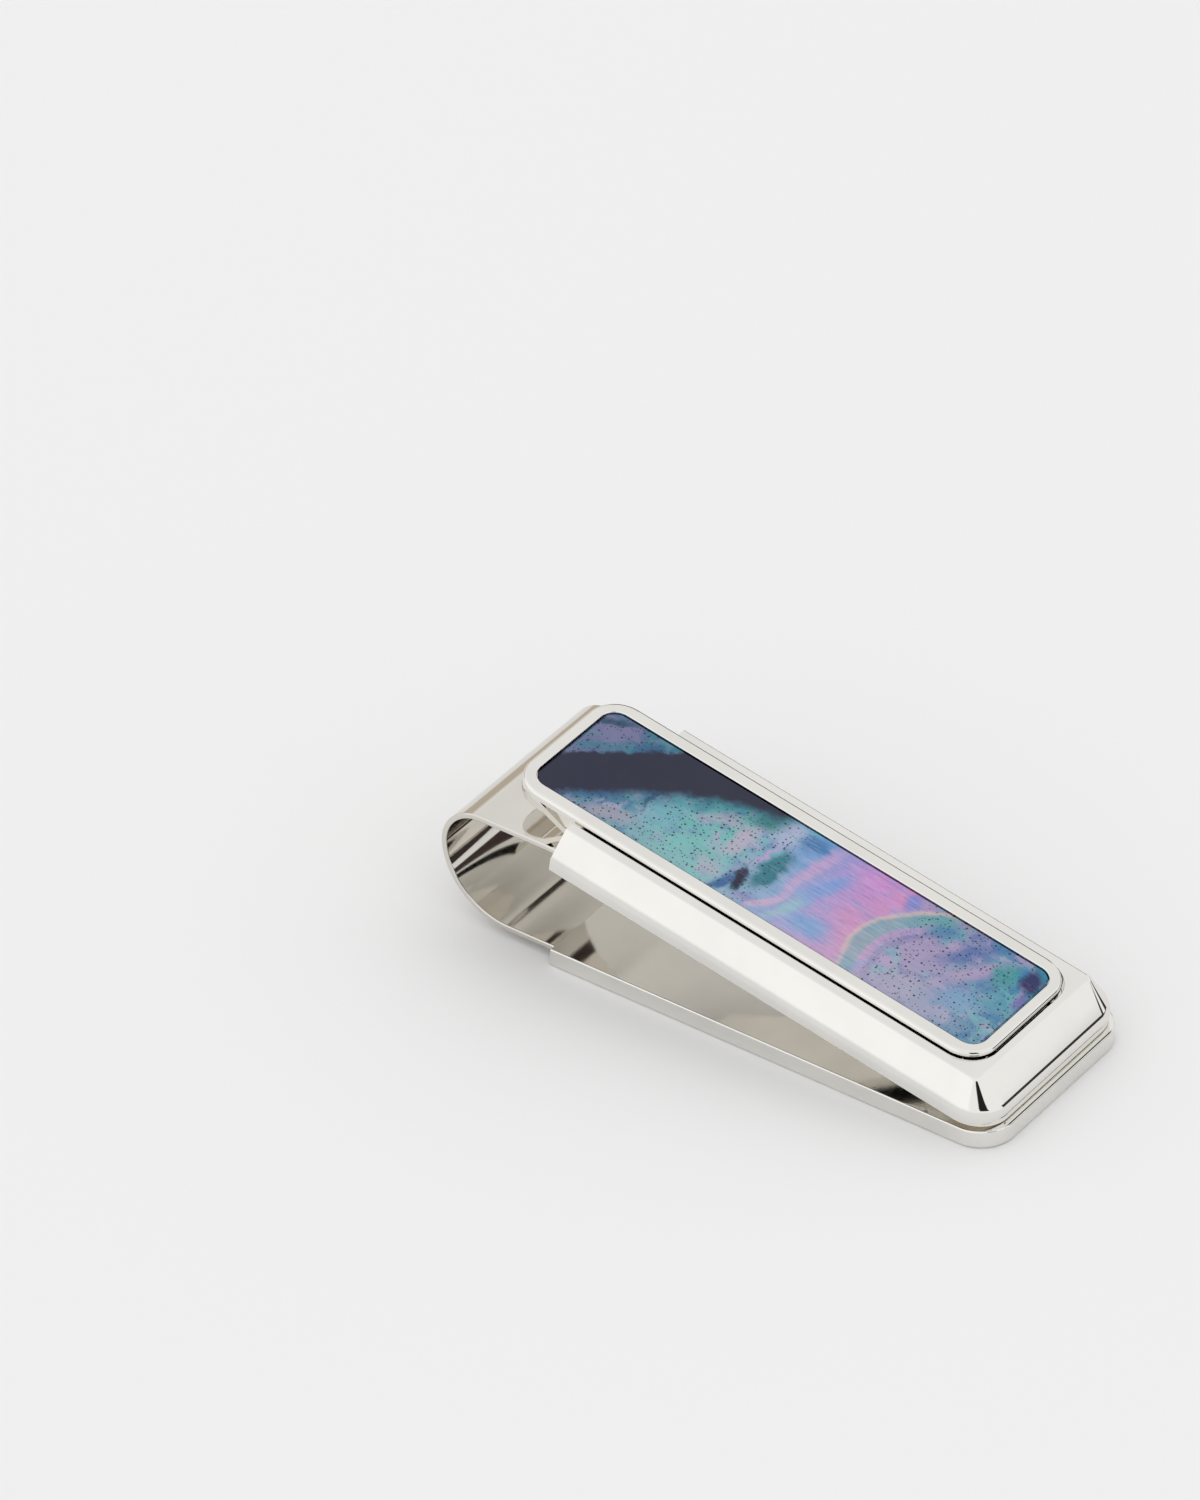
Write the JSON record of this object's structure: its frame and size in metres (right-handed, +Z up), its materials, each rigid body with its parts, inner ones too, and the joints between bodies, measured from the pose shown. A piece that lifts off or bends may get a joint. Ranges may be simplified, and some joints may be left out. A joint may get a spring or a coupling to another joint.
{
  "type": "money clip",
  "caption": "Spring-hinged money clip: two bevelled metal jaws joined by a bent spring band, with a sliding lever in each jaw and a pearl inlay on top.",
  "frame": {"origin": "on the resting surface, under the middle of the clip's length and width", "axes": "+X towards the tip of the jaws, +Y across the clip, +Z up out of the resting surface"},
  "size_m": [0.0632, 0.0224, 0.0173],
  "materials": {
    "nickel": "mirror polished",
    "nickel_lever": "mirror polished",
    "spring_steel": "mirror polished",
    "rivet_steel": "satin",
    "leaf_steel": "satin",
    "adhesive": "matte",
    "pearl": "polished mother-of-pearl"
  },
  "bodies": {
    "lower_jaw": {"lower_frame": "nickel", "lower_rivets": "rivet_steel", "lower_stop_pins": "rivet_steel", "spring_band": "spring_steel"},
    "upper_jaw": {"upper_frame": "nickel", "upper_rivets": "rivet_steel", "upper_stop_pins": "rivet_steel"},
    "lower_lever": {"lower_slide": "nickel_lever", "lower_slide_spring": "leaf_steel"},
    "upper_lever": {"upper_slide": "nickel_lever", "upper_slide_spring": "leaf_steel", "inlay_bed": "adhesive", "pearl_inlay": "pearl"}
  },
  "joints": [
    {"name": "jaw_open", "type": "hinge", "parent": "lower_jaw", "child": "upper_jaw", "pos_m": [-0.028, 0, 0.0072], "axis": [0, -1, 0], "range_deg": [0, 10], "stiffness_Nm_per_rad": 1.2, "springref_deg": -6.88, "deforming": ["spring_band"]},
    {"name": "upper_slide_travel", "type": "slide", "parent": "upper_jaw", "child": "upper_lever", "axis": [-0.9823, 0, 0.1874], "range_m": [0, 0.0232]},
    {"name": "lower_slide_travel", "type": "slide", "parent": "lower_jaw", "child": "lower_lever", "axis": [-1, 0, 0], "range_m": [0, 0.0232]}
  ]
}
